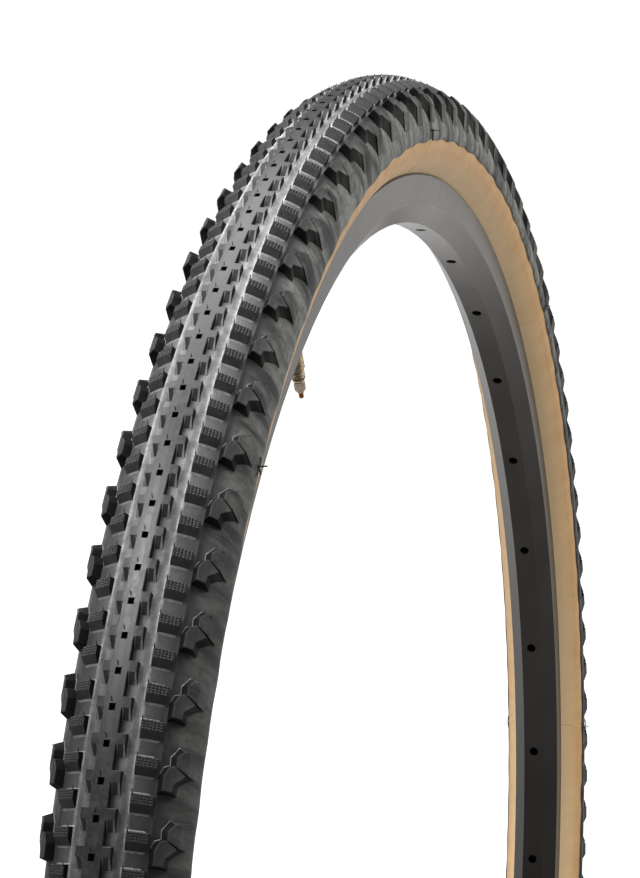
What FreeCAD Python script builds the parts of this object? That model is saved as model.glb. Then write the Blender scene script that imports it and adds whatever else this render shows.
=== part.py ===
import math
import os
import re

import FreeCAD
import Part
import Sketcher

# A gravel tyre on its rim, with its inner tube and valve.
# Frame: millimetres, wheel centre at the origin, wheel axle along Y, +Z up.
# "Clock angle" is measured from +Z towards -X, as seen from the -Y side.

Vector = FreeCAD.Vector
WHEEL_AXLE = Vector(0, 1, 0)

DIMENSIONS = {
    # rim section
    "bed_radius": 297.8,
    "bed_half_width": 5.2,
    "rim_half_width": 11.3,
    "rim_shoulder_radius": 305.2,
    "rim_edge_radius": 317.5,
    "rim_edge_break": 0.6,
    "rim_wall": 1.4,
    "wall_miter": 0.4,
    "hook_half_gap": 9.0,
    "hook_foot_radius": 316.0,
    "hook_depth": 0.8,
    "hook_undercut": 0.7,
    "bead_seat_radius": 311.0,
    "seat_inner_half": 5.2,
    "well_half_width": 4.4,
    "well_radius": 309.3,
    # rim holes
    "spoke_count": 32,
    "spoke_hole_radius": 2.25,
    "access_hole_radius": 3.9,
    "first_spoke_angle": 3.59,
    "sleeve_angle": 7.0,
    "sleeve_clearance": 0.25,
    "tape_thickness": 0.4,
    "fit_gap": 0.02,
    # tyre section
    "section_radius": 333.0,
    "casing_half_width": 20.4,
    "flank_offset": 3.75,
    "flank_end_angle": 25.0,
    "skin_thickness": 0.5,
    "ply_thickness": 1.1,
    "breaker_edge_angle": 55.0,
    "skin_start_angle": 56.0,
    "bead_half_gap": 6.2,
    "bead_radius": 313.7,
    "bead_core_radius": 1.1,
    "bead_play": 0.12,
    "turn_up_radius": 317.4,
    "knee_lift": 0.25,
    "knee_miter": 0.45,
    "chafer_thickness": 0.35,
    "chafer_top_radius": 315.6,
    "skin_gap": 0.1,
    # tread
    "tread_base": 0.7,
    "tread_edge_angle": 82.0,
    "tread_edge_lip": 0.15,
    "spine_half_width": 2.75,
    "spine_height": 2.3,
    "tread_pitches": 212,
    "first_pitch_angle": 70.46,
    "tread_radius": 356.4,
    "mid_knob_inner_angle": 22.1,
    "mid_knob_outer_angle": 37.7,
    "mid_knob_height": 1.9,
    "mid_knob_start": 2.4,
    "mid_knob_length": 5.75,
    "side_knob_inner_angle": 38.7,
    "side_knob_split_angle": 50.2,
    "side_knob_outer_angle": 62.7,
    "side_knob_height": 3.6,
    "side_knob_start": -1.5,
    "side_knob_part_length": 6.6,
    "side_knob_step": 6.3,
    # inner tube
    "tube_gap": 0.3,
    "tube_wall": 0.6,
    "tube_foot_half": 3.3,
    "tube_foot_radius": 310.5,
    "tube_shoulder_angle": 40.0,
    "tube_knee_lift": 0.5,
    "port_length": 6.0,
    # valve, measured along its own axis from the rim's spoke bed towards the hub
    "valve_angle": 30.0,
    "valve_hole_radius": 3.3,
    "drill_length": 40.0,
    "stem_radius": 3.0,
    "stem_bore_radius": 1.8,
    "stem_length": 15.0,
    "stem_chamfer": 0.3,
    "neck_radius": 2.6,
    "neck_length": 4.2,
    "neck_chamfer": 0.25,
    "foot_depth": 12.6,
    "patch_radius": 4.2,
    "patch_thickness": 0.6,
    "core_radius": 1.75,
    "core_waist_radius": 1.3,
    "core_head_radius": 2.1,
    "core_head_length": 0.8,
    "core_bore_radius": 1.0,
    "gasket_start": 2.0,
    "gasket_length": 1.5,
    "gasket_play": 0.05,
    "gasket_nip": 0.01,
    "pin_radius": 0.95,
    "pin_tip": 27.4,
    "pin_taper_length": 0.5,
    "pin_taper": 0.35,
    "plunger_radius": 1.5,
    "seal_thickness": 1.2,
    "plunger_thickness": 0.8,
    "lock_nut_radius": 2.05,
    "lock_nut_length": 4.9,
    "nut_taper": 0.7,
    "nut_taper_length": 1.12,
    "washer_start": 0.1,
    "washer_thickness": 0.8,
    "washer_radius": 4.6,
    "rim_nut_radius": 4.9,
    "rim_nut_height": 3.0,
    "rim_nut_chamfer": 0.5,
    "thread_play": 0.05,
    "knurl_radius": 0.35,
    "knurl_offset": 0.1,
    "lock_nut_knurls": 16,
    "rim_nut_knurls": 30,
}

doc = FreeCAD.newDocument("GravelTyre")
sheet = doc.addObject("Spreadsheet::Sheet", "Dims")
for row, (alias, number) in enumerate(DIMENSIONS.items(), start=1):
    sheet.set(f"A{row}", alias.replace("_", " "))
    sheet.set(f"B{row}", str(number))
    sheet.setAlias(f"B{row}", alias)
doc.recompute()

nodes = []


def value(alias):
    """One driving dimension, as the sheet holds it."""
    return float(sheet.get(alias))


def bind(text):
    """An expression with every driving dimension read from the sheet."""
    def read(word):
        return f"Dims.{word[0]}" if word[0] in DIMENSIONS else word[0]
    return re.sub("[a-z_]+", read, text)


def origin_feature(body, role):
    return next(item for item in body.Origin.OriginFeatures if item.Role == role)


def new_body(name):
    body = doc.addObject("PartDesign::Body", name)
    body.Label = name
    return body


def new_sketch(body, name, plane):
    sketch = body.newObject("Sketcher::SketchObject", name)
    sketch.AttachmentSupport = [(origin_feature(body, plane), "")]
    sketch.MapMode = "FlatFace"
    return sketch


def line():
    return ("line",)


def arc(centre_x, centre_y, radius, way):
    return ("arc", centre_x, centre_y, radius, way)


def measure(sketch, expression):
    """What an expression in the driving dimensions comes to."""
    return float(sketch.evalExpression(bind(expression)))


def dimension(sketch, kind, where, expression):
    """A driving dimension of a sketch, bound to the sheet."""
    number = measure(sketch, expression)
    index = sketch.addConstraint(Sketcher.Constraint(kind, *where, number))
    name = f"size_{index}"
    sketch.renameConstraint(index, name)
    sketch.setExpression(f"Constraints.{name}", bind(expression))


def draw_loop(sketch, outline):
    """A closed outline of (x, y, edge to the next point), every point bound to the sheet."""
    points = []
    for x, y, _ in outline:
        points.append(Vector(measure(sketch, x), measure(sketch, y), 0))
    ends = []
    for index, (_, _, edge) in enumerate(outline):
        start = points[index]
        stop = points[(index + 1) % len(points)]
        if edge[0] == "line":
            geometry = sketch.addGeometry(Part.LineSegment(start, stop), False)
            ends.append((geometry, 1, 2))
            continue
        _, centre_x, centre_y, radius, way = edge
        centre = Vector(measure(sketch, centre_x), measure(sketch, centre_y), 0)
        circle = Part.Circle(centre, Vector(0, 0, 1), measure(sketch, radius))
        first, last = (start, stop) if way == "ccw" else (stop, start)
        curve = Part.ArcOfCircle(circle, circle.parameter(first), circle.parameter(last))
        geometry = sketch.addGeometry(curve, False)
        ends.append((geometry, 1, 2) if way == "ccw" else (geometry, 2, 1))
    for index, (geometry, _, stop_end) in enumerate(ends):
        following, start_end, _ = ends[(index + 1) % len(ends)]
        sketch.addConstraint(Sketcher.Constraint("Coincident", geometry, stop_end, following, start_end))
    for (x, y, edge), (geometry, start_end, _) in zip(outline, ends):
        dimension(sketch, "DistanceX", (geometry, start_end), x)
        dimension(sketch, "DistanceY", (geometry, start_end), y)
        if edge[0] == "arc":
            dimension(sketch, "DistanceY", (geometry, 3), edge[2])


def ring(name, outlines, sweep="360"):
    """A body turned about the wheel's axle from outlines of (axial, radial) points."""
    body = new_body(name)
    sketch = new_sketch(body, name + "_section", "YZ_Plane")
    for outline in outlines:
        draw_loop(sketch, outline)
    doc.recompute()
    turn = body.newObject("PartDesign::Revolution", name + "_turn")
    turn.Profile = sketch
    turn.ReferenceAxis = (origin_feature(body, "Y_Axis"), [""])
    turn.setExpression("Angle", bind(sweep))
    doc.recompute()
    return body


def turned(name, outline):
    """A body turned about the valve's axis from (radius, height) points."""
    body = new_body(name)
    sketch = new_sketch(body, name + "_section", "XZ_Plane")
    draw_loop(sketch, [(x, y, line()) for x, y in outline])
    doc.recompute()
    turn = body.newObject("PartDesign::Revolution", name + "_turn")
    turn.Profile = sketch
    turn.ReferenceAxis = (origin_feature(body, "Z_Axis"), [""])
    turn.Angle = 360
    doc.recompute()
    return body


def place_on_valve(body):
    """Stand a body on the valve's axis, with its own Z pointing at the hub."""
    body.Placement = FreeCAD.Placement(Vector(0, 0, 0), FreeCAD.Rotation(WHEEL_AXLE, 150))
    body.setExpression("Placement.Base.x", bind("-bed_radius * sin(valve_angle)"))
    body.setExpression("Placement.Base.z", bind("bed_radius * cos(valve_angle)"))
    body.setExpression("Placement.Rotation.Angle", bind("180 - valve_angle"))


def keep(item, name):
    item.Label = name
    nodes.append(item)
    return item


def mirrored(item, name):
    """The other side's piece, mirrored in the wheel's middle plane."""
    twin = doc.addObject("Part::Mirroring", name)
    twin.Source = item
    twin.Base = Vector(0, 0, 0)
    twin.Normal = WHEEL_AXLE
    return keep(twin, name)


def pair(builder, name):
    """A piece for each side: the right one at +Y, the left one at -Y."""
    right = keep(builder(name + "_right"), name + "_right")
    mirrored(right, name + "_left")


# ---------------------------------------------------------------- rim
CORNER = "rim_wall * wall_miter"


def both_sides(half):
    """Close a symmetric outline of straight edges from the points of its +Y half."""
    right = [(x, y, line()) for x, y in half]
    left = [(f"-({x})", y, line()) for x, y in reversed(half)]
    return right + left


def build_rim():
    outer = both_sides([
        ("bed_half_width", "bed_radius"),
        ("rim_half_width", "rim_shoulder_radius"),
        ("rim_half_width", "rim_edge_radius - rim_edge_break"),
        ("rim_half_width - rim_edge_break", "rim_edge_radius"),
        ("hook_half_gap", "hook_foot_radius"),
        ("hook_half_gap", "hook_foot_radius - hook_depth"),
        ("hook_half_gap + hook_undercut", "hook_foot_radius - hook_depth - hook_undercut"),
        ("hook_half_gap + hook_undercut", "bead_seat_radius"),
        ("seat_inner_half", "bead_seat_radius"),
        ("well_half_width", "well_radius"),
    ])
    hollow = both_sides([
        (f"bed_half_width - {CORNER}", "bed_radius + rim_wall"),
        ("rim_half_width - rim_wall", f"rim_shoulder_radius + {CORNER}"),
        ("rim_half_width - rim_wall", "bead_seat_radius - rim_wall"),
        (f"seat_inner_half + {CORNER}", "bead_seat_radius - rim_wall"),
        (f"well_half_width + {CORNER}", "well_radius - rim_wall"),
    ])
    body = ring("rim_profile", [outer, hollow])

    bed_circle = new_sketch(body, "spoke_hole_circle", "XY_Plane")
    spoke_bore = Part.Circle(Vector(0, 0, 0), Vector(0, 0, 1), value("spoke_hole_radius"))
    bed_circle.addGeometry(spoke_bore, False)
    bed_circle.addConstraint(Sketcher.Constraint("Coincident", 0, 3, -1, 1))
    dimension(bed_circle, "Radius", (0,), "spoke_hole_radius")
    bed_hole = body.newObject("PartDesign::Pocket", "spoke_hole")
    bed_hole.Profile = bed_circle
    bed_hole.Reversed = True
    bed_hole.setExpression("Length", bind("rim_shoulder_radius"))
    doc.recompute()

    floor_circle = new_sketch(body, "access_hole_circle", "XY_Plane")
    floor_level = Vector(0, 0, value("rim_shoulder_radius"))
    floor_circle.AttachmentOffset = FreeCAD.Placement(floor_level, FreeCAD.Rotation())
    floor_circle.setExpression("AttachmentOffset.Base.z", bind("rim_shoulder_radius"))
    access_bore = Part.Circle(Vector(0, 0, 0), Vector(0, 0, 1), value("access_hole_radius"))
    floor_circle.addGeometry(access_bore, False)
    floor_circle.addConstraint(Sketcher.Constraint("Coincident", 0, 3, -1, 1))
    dimension(floor_circle, "Radius", (0,), "access_hole_radius")
    access_hole = body.newObject("PartDesign::Pocket", "access_hole")
    access_hole.Profile = floor_circle
    access_hole.Reversed = True
    access_hole.setExpression("Length", bind("bead_seat_radius - rim_shoulder_radius"))
    doc.recompute()

    holes = body.newObject("PartDesign::PolarPattern", "hole_pattern")
    holes.Originals = [bed_hole, access_hole]
    holes.Axis = (origin_feature(body, "Y_Axis"), [""])
    holes.Angle = 360
    holes.setExpression("Occurrences", bind("spoke_count"))
    body.Tip = holes
    body.Placement = FreeCAD.Placement(Vector(0, 0, 0), FreeCAD.Rotation(WHEEL_AXLE, -1))
    body.setExpression("Placement.Rotation.Angle", bind("-first_spoke_angle"))
    doc.recompute()

    drill = doc.addObject("Part::Cylinder", "valve_hole")
    drill.setExpression("Radius", bind("valve_hole_radius"))
    drill.setExpression("Height", bind("drill_length"))
    place_on_valve(drill)
    drill.setExpression("Placement.Base.x", bind("-(bed_radius + drill_length / 2) * sin(valve_angle)"))
    drill.setExpression("Placement.Base.z", bind("(bed_radius + drill_length / 2) * cos(valve_angle)"))
    rim = doc.addObject("Part::Cut", "rim")
    rim.Base = body
    rim.Tool = drill
    doc.recompute()
    return rim, drill


rim, valve_drill = build_rim()
keep(rim, "rim")


def build_joint_sleeve():
    """The bar inside the hollow that holds the extrusion's two ends together, opposite the valve."""
    side = "rim_half_width - rim_wall - sleeve_clearance"
    block = both_sides([
        (f"bed_half_width - {CORNER} - sleeve_clearance", "bed_radius + rim_wall + sleeve_clearance"),
        (side, f"rim_shoulder_radius + {CORNER} + sleeve_clearance"),
        (side, "well_radius - rim_wall - sleeve_clearance"),
    ])
    sleeve = ring("rim_joint_sleeve", [block], "sleeve_angle")
    sleeve.Placement = FreeCAD.Placement(Vector(0, 0, 0), FreeCAD.Rotation(WHEEL_AXLE, 150))
    sleeve.setExpression("Placement.Rotation.Angle", bind("180 - valve_angle - sleeve_angle / 2"))
    return sleeve


keep(build_joint_sleeve(), "rim_joint_sleeve")


def build_tape():
    band = both_sides([
        ("well_half_width - tape_thickness / 2", "well_radius + fit_gap"),
        ("well_half_width - tape_thickness / 2", "well_radius + tape_thickness"),
    ])
    strip = ring("rim_tape_strip", [band])
    tape = doc.addObject("Part::Cut", "rim_tape")
    tape.Base = strip
    tape.Tool = valve_drill
    doc.recompute()
    return tape


keep(build_tape(), "rim_tape")


# ---------------------------------------------------------------- tyre
def crown_point(offset, angle):
    """A point of the crown arc, at an angle from the top, grown outwards by an offset."""
    reach = f"(casing_half_width + {offset})"
    return f"{reach} * sin({angle})", f"section_radius + {reach} * cos({angle})"


def flank_point(offset, angle):
    """A point of the lower flank arc, at an angle from straight down."""
    reach = f"(casing_half_width - flank_offset + {offset})"
    return f"flank_offset + {reach} * sin({angle})", f"section_radius - {reach} * cos({angle})"


def crown_arc(offset, way):
    return arc("0", "section_radius", f"casing_half_width + {offset}", way)


def flank_arc(offset, way):
    return arc("flank_offset", "section_radius", f"casing_half_width - flank_offset + {offset}", way)


def mirror_flank_arc(offset, way):
    return arc("-flank_offset", "section_radius", f"casing_half_width - flank_offset + {offset}", way)


def mirror_bead_arc(radius, way):
    return arc("-bead_half_gap", "bead_radius", radius, way)


def bead_arc(radius, way):
    return arc("bead_half_gap", "bead_radius", radius, way)


WRAP = "(bead_core_radius + bead_play)"
PLY_OUT = "(-skin_thickness)"
PLY_IN = "(-skin_thickness - ply_thickness)"


def build_carcass():
    """One ply layer from bead to bead, folded round both bead cores."""
    leg_out = f"bead_half_gap + {WRAP} + ply_thickness"
    leg_in = f"bead_half_gap + {WRAP}"
    fold_in = f"bead_half_gap - {WRAP}"
    fold_out = f"bead_half_gap - {WRAP} - ply_thickness"
    top_out = crown_point(PLY_OUT, "90")
    top_in = crown_point(PLY_IN, "90")
    end_out = flank_point(PLY_OUT, "flank_end_angle")
    end_in = flank_point(PLY_IN, "flank_end_angle")
    knee = "hook_foot_radius + knee_lift"
    outline = [
        (*top_out, flank_arc(PLY_OUT, "cw")),
        (*end_out, line()),
        (leg_out, knee, line()),
        (leg_out, "bead_radius", bead_arc(f"{WRAP} + ply_thickness", "cw")),
        (fold_out, "bead_radius", line()),
        (fold_out, "turn_up_radius", line()),
        (fold_in, "turn_up_radius", line()),
        (fold_in, "bead_radius", bead_arc(WRAP, "ccw")),
        (leg_in, "bead_radius", line()),
        (leg_in, f"{knee} + ply_thickness * knee_miter", line()),
        (*end_in, flank_arc(PLY_IN, "ccw")),
        (*top_in, crown_arc(PLY_IN, "ccw")),
        (f"-({top_in[0]})", top_in[1], mirror_flank_arc(PLY_IN, "ccw")),
        (f"-({end_in[0]})", end_in[1], line()),
        (f"-({leg_in})", f"{knee} + ply_thickness * knee_miter", line()),
        (f"-({leg_in})", "bead_radius", mirror_bead_arc(WRAP, "ccw")),
        (f"-({fold_in})", "bead_radius", line()),
        (f"-({fold_in})", "turn_up_radius", line()),
        (f"-({fold_out})", "turn_up_radius", line()),
        (f"-({fold_out})", "bead_radius", mirror_bead_arc(f"{WRAP} + ply_thickness", "cw")),
        (f"-({leg_out})", "bead_radius", line()),
        (f"-({leg_out})", knee, line()),
        (f"-({end_out[0]})", end_out[1], mirror_flank_arc(PLY_OUT, "cw")),
        (f"-({top_out[0]})", top_out[1], crown_arc(PLY_OUT, "cw")),
    ]
    return ring("carcass", [outline])


keep(build_carcass(), "carcass")


def build_bead_core(name):
    core = doc.addObject("Part::Torus", name)
    core.setExpression("Radius1", bind("bead_radius"))
    core.setExpression("Radius2", bind("bead_core_radius"))
    core.Placement = FreeCAD.Placement(Vector(0, 1, 0), FreeCAD.Rotation(Vector(1, 0, 0), 90))
    core.setExpression("Placement.Base.y", bind("bead_half_gap"))
    doc.recompute()
    return core


pair(build_bead_core, "bead_core")


def build_breaker():
    """The puncture strip that lies between the ply and the tread."""
    inner = crown_point(PLY_OUT, "breaker_edge_angle")
    outer = crown_point("0", "breaker_edge_angle")
    outline = [
        (*outer, line()),
        (*inner, crown_arc(PLY_OUT, "ccw")),
        (f"-({inner[0]})", inner[1], line()),
        (f"-({outer[0]})", outer[1], crown_arc("0", "cw")),
    ]
    return ring("breaker_strip", [outline])


keep(build_breaker(), "breaker_strip")


def build_sidewall(name):
    """The thin rubber skin of one side, from under the tread's wing to the rim."""
    start_out = crown_point("0", "skin_start_angle")
    start_in = crown_point(PLY_OUT, "skin_start_angle")
    end_out = flank_point("0", "flank_end_angle")
    end_in = flank_point(PLY_OUT, "flank_end_angle")
    leg = f"bead_half_gap + {WRAP} + ply_thickness"
    outline = [
        (*start_out, crown_arc("0", "cw")),
        (*crown_point("0", "90"), flank_arc("0", "cw")),
        (*end_out, line()),
        (f"{leg} + chafer_thickness", "hook_foot_radius + skin_gap", line()),
        (f"{leg} + chafer_thickness", "chafer_top_radius + skin_gap", line()),
        (leg, "chafer_top_radius + skin_gap", line()),
        (leg, "hook_foot_radius + knee_lift", line()),
        (*end_in, flank_arc(PLY_OUT, "ccw")),
        (*crown_point(PLY_OUT, "90"), crown_arc(PLY_OUT, "ccw")),
        (*start_in, line()),
    ]
    return ring(name, [outline])


pair(build_sidewall, "sidewall")


def build_chafer(name):
    """The strip that keeps the rim from rubbing through the ply at the bead."""
    leg = f"bead_half_gap + {WRAP} + ply_thickness"
    heel = f"({WRAP} + ply_thickness)"
    outline = [
        (f"{leg} + chafer_thickness", "chafer_top_radius", line()),
        (f"{leg} + chafer_thickness", "bead_radius", bead_arc(f"{heel} + chafer_thickness", "cw")),
        (f"bead_half_gap - {heel} - chafer_thickness", "bead_radius", line()),
        (f"bead_half_gap - {heel}", "bead_radius", bead_arc(heel, "ccw")),
        (leg, "bead_radius", line()),
        (leg, "chafer_top_radius", line()),
    ]
    return ring(name, [outline])


pair(build_chafer, "chafer")


def build_tread():
    """The black cap from wing to wing, with the spine that runs round its middle."""
    base = "tread_base"
    top = crown_point(base, "90")
    under = crown_point("0", "90")
    edge_out = flank_point("tread_edge_lip", "tread_edge_angle")
    edge_in = flank_point("0", "tread_edge_angle")
    spine_foot = f"section_radius + sqrt((casing_half_width + {base}) ^ 2 - spine_half_width ^ 2)"
    spine_top = "tread_radius"
    outline = [
        ("spine_half_width", spine_top, line()),
        ("spine_half_width", spine_foot, crown_arc(base, "cw")),
        (*top, line()),
        (*edge_out, line()),
        (*edge_in, flank_arc("0", "ccw")),
        (*under, crown_arc("0", "ccw")),
        (f"-({under[0]})", under[1], mirror_flank_arc("0", "ccw")),
        (f"-({edge_in[0]})", edge_in[1], line()),
        (f"-({edge_out[0]})", edge_out[1], line()),
        (f"-({top[0]})", top[1], crown_arc(base, "cw")),
        ("-spine_half_width", spine_foot, line()),
        ("-spine_half_width", spine_top, line()),
    ]
    return ring("tread", [outline])


keep(build_tread(), "tread")


def knob_block(name, inner_angle, outer_angle, height, arc_length):
    """A block of tread rubber that stands on the cap, swept round the wheel by its own length."""
    foot_in = crown_point("tread_base", inner_angle)
    foot_out = crown_point("tread_base", outer_angle)
    top_in = crown_point(f"tread_base + {height}", inner_angle)
    top_out = crown_point(f"tread_base + {height}", outer_angle)
    outline = [
        (*foot_in, line()),
        (*top_in, crown_arc(f"tread_base + {height}", "cw")),
        (*top_out, line()),
        (*foot_out, crown_arc("tread_base", "ccw")),
    ]
    return ring(name, [outline], f"{arc_length} / tread_radius * 180 / pi")


def knob_row(name, block, start, pitch_step):
    """Copies of one block round the wheel, one on every pitch_step tread pitches."""
    pitches = int(value("tread_pitches"))
    start_angle = math.degrees(value(start) / value("tread_radius"))
    copies = []
    for pitch in range(0, pitches, pitch_step):
        copy = block.Shape.copy()
        clock_angle = value("first_pitch_angle") - pitch * 360 / pitches
        copy.rotate(Vector(0, 0, 0), WHEEL_AXLE, start_angle - clock_angle)
        copies.append(copy)
    row = doc.addObject("Part::Feature", name)
    row.Shape = Part.makeCompound(copies)
    row.Placement = FreeCAD.Placement()
    return keep(row, name)


mid_block = knob_block(
    "mid_knob", "mid_knob_inner_angle", "mid_knob_outer_angle", "mid_knob_height", "mid_knob_length"
)
mirrored(knob_row("middle_knobs_right", mid_block, "mid_knob_start", 1), "middle_knobs_left")

inner_block = knob_block(
    "side_knob_inner", "side_knob_inner_angle", "side_knob_split_angle", "side_knob_height",
    "side_knob_part_length"
)
outer_block = knob_block(
    "side_knob_outer", "side_knob_split_angle", "side_knob_outer_angle", "side_knob_height",
    "side_knob_part_length"
)
outer_block.Placement = FreeCAD.Placement(Vector(0, 0, 0), FreeCAD.Rotation(WHEEL_AXLE, 1))
outer_block.setExpression(
    "Placement.Rotation.Angle", bind("side_knob_step / tread_radius * 180 / pi")
)
side_block = doc.addObject("Part::Fuse", "side_knob")
side_block.Base = inner_block
side_block.Tool = outer_block
doc.recompute()
mirrored(knob_row("shoulder_knobs_right", side_block, "side_knob_start", 2), "shoulder_knobs_left")


# ---------------------------------------------------------------- inner tube
def build_tube():
    """The butyl tube, swollen to the ply, with a foot that drops between the beads."""
    def skin(depth):
        inset = f"(-skin_thickness - ply_thickness - tube_gap - {depth})"
        top = crown_point(inset, "90")
        end = flank_point(inset, "tube_shoulder_angle")
        foot = (f"tube_foot_half - {depth}", f"tube_foot_radius + {depth}")
        knee = (f"tube_foot_half - {depth}", f"turn_up_radius + tube_knee_lift + {depth}")
        return [
            (*top, flank_arc(inset, "cw")),
            (*end, line()),
            (*knee, line()),
            (*foot, line()),
            (f"-({foot[0]})", foot[1], line()),
            (f"-({knee[0]})", knee[1], line()),
            (f"-({end[0]})", end[1], mirror_flank_arc(inset, "cw")),
            (f"-({top[0]})", top[1], crown_arc(inset, "cw")),
        ]
    hose = ring("tube_hose", [skin("0"), skin("tube_wall")])
    port = doc.addObject("Part::Cylinder", "tube_port")
    port.setExpression("Radius", bind("stem_bore_radius"))
    port.setExpression("Height", bind("port_length"))
    place_on_valve(port)
    port.setExpression("Placement.Base.x", bind("-(tube_foot_radius + port_length / 2) * sin(valve_angle)"))
    port.setExpression("Placement.Base.z", bind("(tube_foot_radius + port_length / 2) * cos(valve_angle)"))
    tube = doc.addObject("Part::Cut", "inner_tube")
    tube.Base = hose
    tube.Tool = port
    doc.recompute()
    return tube


keep(build_tube(), "inner_tube")

# ---------------------------------------------------------------- valve
NECK_TOP = "stem_length + neck_length"
HEAD_TOP = f"{NECK_TOP} + core_head_length"

VALVE_OUTLINES = {
    "valve_base_patch": [
        ("stem_radius + fit_gap", "-foot_depth"),
        ("patch_radius", "-foot_depth"),
        ("patch_radius", "-foot_depth + patch_thickness"),
        ("stem_radius + fit_gap", "-foot_depth + patch_thickness"),
    ],
    "valve_stem": [
        ("stem_bore_radius", "-foot_depth"),
        ("stem_radius", "-foot_depth"),
        ("stem_radius", "stem_length - stem_chamfer"),
        ("stem_radius - stem_chamfer", "stem_length"),
        ("neck_radius", "stem_length"),
        ("neck_radius", f"{NECK_TOP} - neck_chamfer"),
        ("neck_radius - neck_chamfer", NECK_TOP),
        ("stem_bore_radius", NECK_TOP),
    ],
    "valve_core_body": [
        ("core_bore_radius", "0"),
        ("core_radius", "0"),
        ("core_radius", "gasket_start"),
        ("core_waist_radius", "gasket_start"),
        ("core_waist_radius", "gasket_start + gasket_length"),
        ("core_radius", "gasket_start + gasket_length"),
        ("core_radius", f"{NECK_TOP} + fit_gap"),
        ("core_head_radius", f"{NECK_TOP} + fit_gap"),
        ("core_head_radius", HEAD_TOP),
        ("core_bore_radius", HEAD_TOP),
    ],
    "core_gasket": [
        ("core_waist_radius + fit_gap", "gasket_start + gasket_play"),
        ("stem_bore_radius - gasket_nip", "gasket_start + gasket_play"),
        ("stem_bore_radius - gasket_nip", "gasket_start + gasket_length - gasket_play"),
        ("core_waist_radius + fit_gap", "gasket_start + gasket_length - gasket_play"),
    ],
    "core_pin": [
        ("0", "-seal_thickness - plunger_thickness"),
        ("plunger_radius", "-seal_thickness - plunger_thickness"),
        ("plunger_radius", "-seal_thickness"),
        ("pin_radius", "-seal_thickness"),
        ("pin_radius", "pin_tip - pin_taper_length"),
        ("pin_radius - pin_taper", "pin_tip"),
        ("0", "pin_tip"),
    ],
    "plunger_seal": [
        ("pin_radius + fit_gap", "-seal_thickness + fit_gap"),
        ("plunger_radius + gasket_play", "-seal_thickness + fit_gap"),
        ("plunger_radius + gasket_play", "-gasket_play"),
        ("pin_radius + fit_gap", "-gasket_play"),
    ],
    "lock_nut": [
        ("pin_radius + thread_play", f"{HEAD_TOP} + thread_play"),
        ("lock_nut_radius", f"{HEAD_TOP} + thread_play"),
        ("lock_nut_radius", f"{HEAD_TOP} + lock_nut_length - nut_taper_length"),
        ("lock_nut_radius - nut_taper", f"{HEAD_TOP} + lock_nut_length"),
        ("pin_radius + thread_play", f"{HEAD_TOP} + lock_nut_length"),
    ],
    "rim_nut_washer": [
        ("stem_radius + thread_play", "washer_start"),
        ("washer_radius", "washer_start"),
        ("washer_radius", "washer_start + washer_thickness"),
        ("stem_radius + thread_play", "washer_start + washer_thickness"),
    ],
    "rim_nut": [
        ("stem_radius + thread_play", "washer_start + washer_thickness + thread_play"),
        ("rim_nut_radius", "washer_start + washer_thickness + thread_play"),
        ("rim_nut_radius", "washer_start + washer_thickness + rim_nut_height - rim_nut_chamfer"),
        ("rim_nut_radius - rim_nut_chamfer", "washer_start + washer_thickness + rim_nut_height"),
        ("stem_radius + thread_play", "washer_start + washer_thickness + rim_nut_height"),
    ],
}


def knurl(body, name, radius, count):
    """Grip flutes cut along the outside of a turned nut."""
    sketch = new_sketch(body, name + "_flute_circle", "XY_Plane")
    centre = Vector(value(radius) + value("knurl_offset"), 0, 0)
    circle = Part.Circle(centre, Vector(0, 0, 1), value("knurl_radius"))
    sketch.addGeometry(circle, False)
    sketch.addConstraint(Sketcher.Constraint("PointOnObject", 0, 3, -1))
    dimension(sketch, "DistanceX", (0, 3), f"{radius} + knurl_offset")
    dimension(sketch, "Radius", (0,), "knurl_radius")
    flute = body.newObject("PartDesign::Pocket", name + "_flute")
    flute.Profile = sketch
    flute.Reversed = True
    flute.Type = "ThroughAll"
    doc.recompute()
    flutes = body.newObject("PartDesign::PolarPattern", name + "_flutes")
    flutes.Originals = [flute]
    flutes.Axis = (origin_feature(body, "Z_Axis"), [""])
    flutes.Angle = 360
    flutes.setExpression("Occurrences", bind(count))
    body.Tip = flutes
    doc.recompute()


KNURLS = {
    "lock_nut": ("lock_nut_radius", "lock_nut_knurls"),
    "rim_nut": ("rim_nut_radius", "rim_nut_knurls"),
}

for name, outline in VALVE_OUTLINES.items():
    body = turned(name, outline)
    if name in KNURLS:
        smooth_volume = body.Shape.Volume
        knurl(body, name, *KNURLS[name])
        if body.Shape.Volume >= smooth_volume:
            raise RuntimeError(f"the flutes of {name} cut nothing")
    place_on_valve(body)
    keep(body, name)

# ---------------------------------------------------------------- checks and files
doc.recompute()
for item in doc.Objects:
    faults = [state for state in item.State if state in ("Invalid", "Error")]
    if faults:
        raise RuntimeError(f"{item.Label} did not recompute: {faults}")

os.makedirs("parts", exist_ok=True)
for node in nodes:
    shape = node.Shape
    if shape.isNull() or not shape.isValid():
        raise RuntimeError(f"{node.Label} has no valid shape")
    shape.exportStep(f"parts/{node.Label}.step")
    box = shape.BoundBox
    print(f"{node.Label}: {len(shape.Solids)} solids, {shape.Volume:.1f} mm3, "
          f"y {box.YMin:.2f} to {box.YMax:.2f}, z {box.ZMin:.2f} to {box.ZMax:.2f}")
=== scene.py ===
"""Looks for a gravel tyre on its rim. Metres in the CAD frame: axle along Y, +Z up, wheel centre at the origin.

The tread is laid out flat first: s runs across from the middle line (mm, positive to -Y), c runs along it
from the middle of a square hole (mm, positive where the clock angle gets smaller), h stands off the groove floor.
"""

import math

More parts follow.
